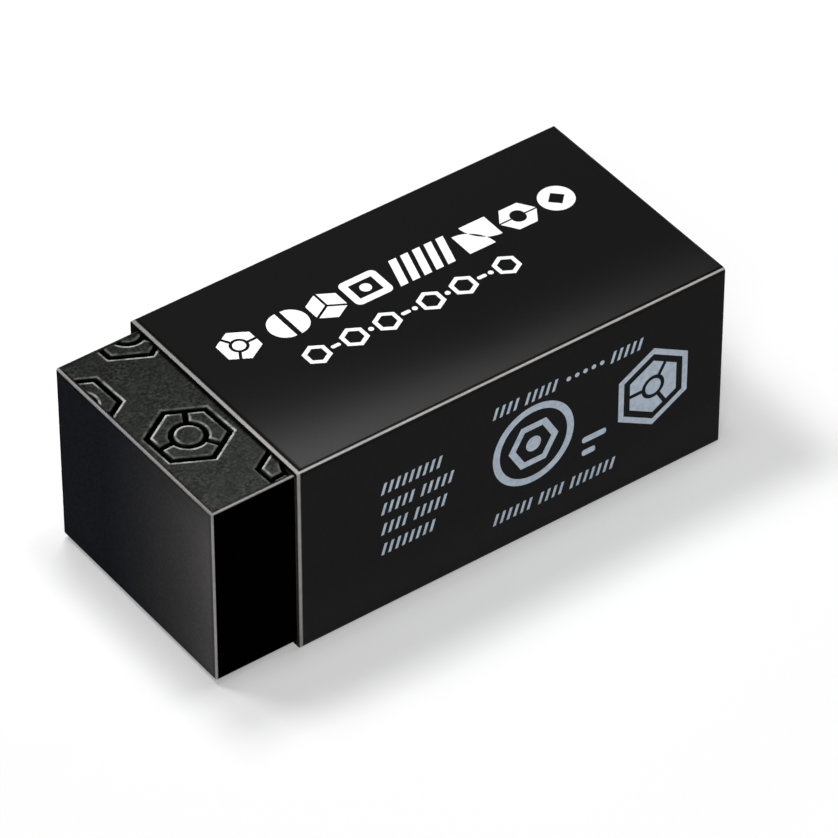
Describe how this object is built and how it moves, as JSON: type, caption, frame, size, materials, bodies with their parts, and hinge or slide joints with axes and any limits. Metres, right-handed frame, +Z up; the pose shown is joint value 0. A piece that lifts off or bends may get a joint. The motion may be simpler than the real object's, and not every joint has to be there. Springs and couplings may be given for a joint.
{
  "type": "vinyl eraser",
  "caption": "Vinyl block eraser with an embossed top face, held in an open-ended sleeve of folded card that it slides in.",
  "frame": {"origin": "on the surface that the sleeve rests on, under the middle of the whole object", "axes": "+X along the bar towards its covered end, +Y across to the side where the sleeve's glue lap is, +Z up"},
  "size_m": [0.037, 0.017, 0.0137],
  "materials": {
    "vinyl": "matt black",
    "printed_card": "satin black print"
  },
  "bodies": {
    "sleeve": {"card_sleeve": "printed_card"},
    "eraser": {"eraser_block": "vinyl"}
  },
  "joints": [
    {"name": "eraser_slide", "type": "slide", "parent": "sleeve", "child": "eraser", "axis": [-1, 0, 0], "range_m": [-0.00575, 0.032]}
  ]
}
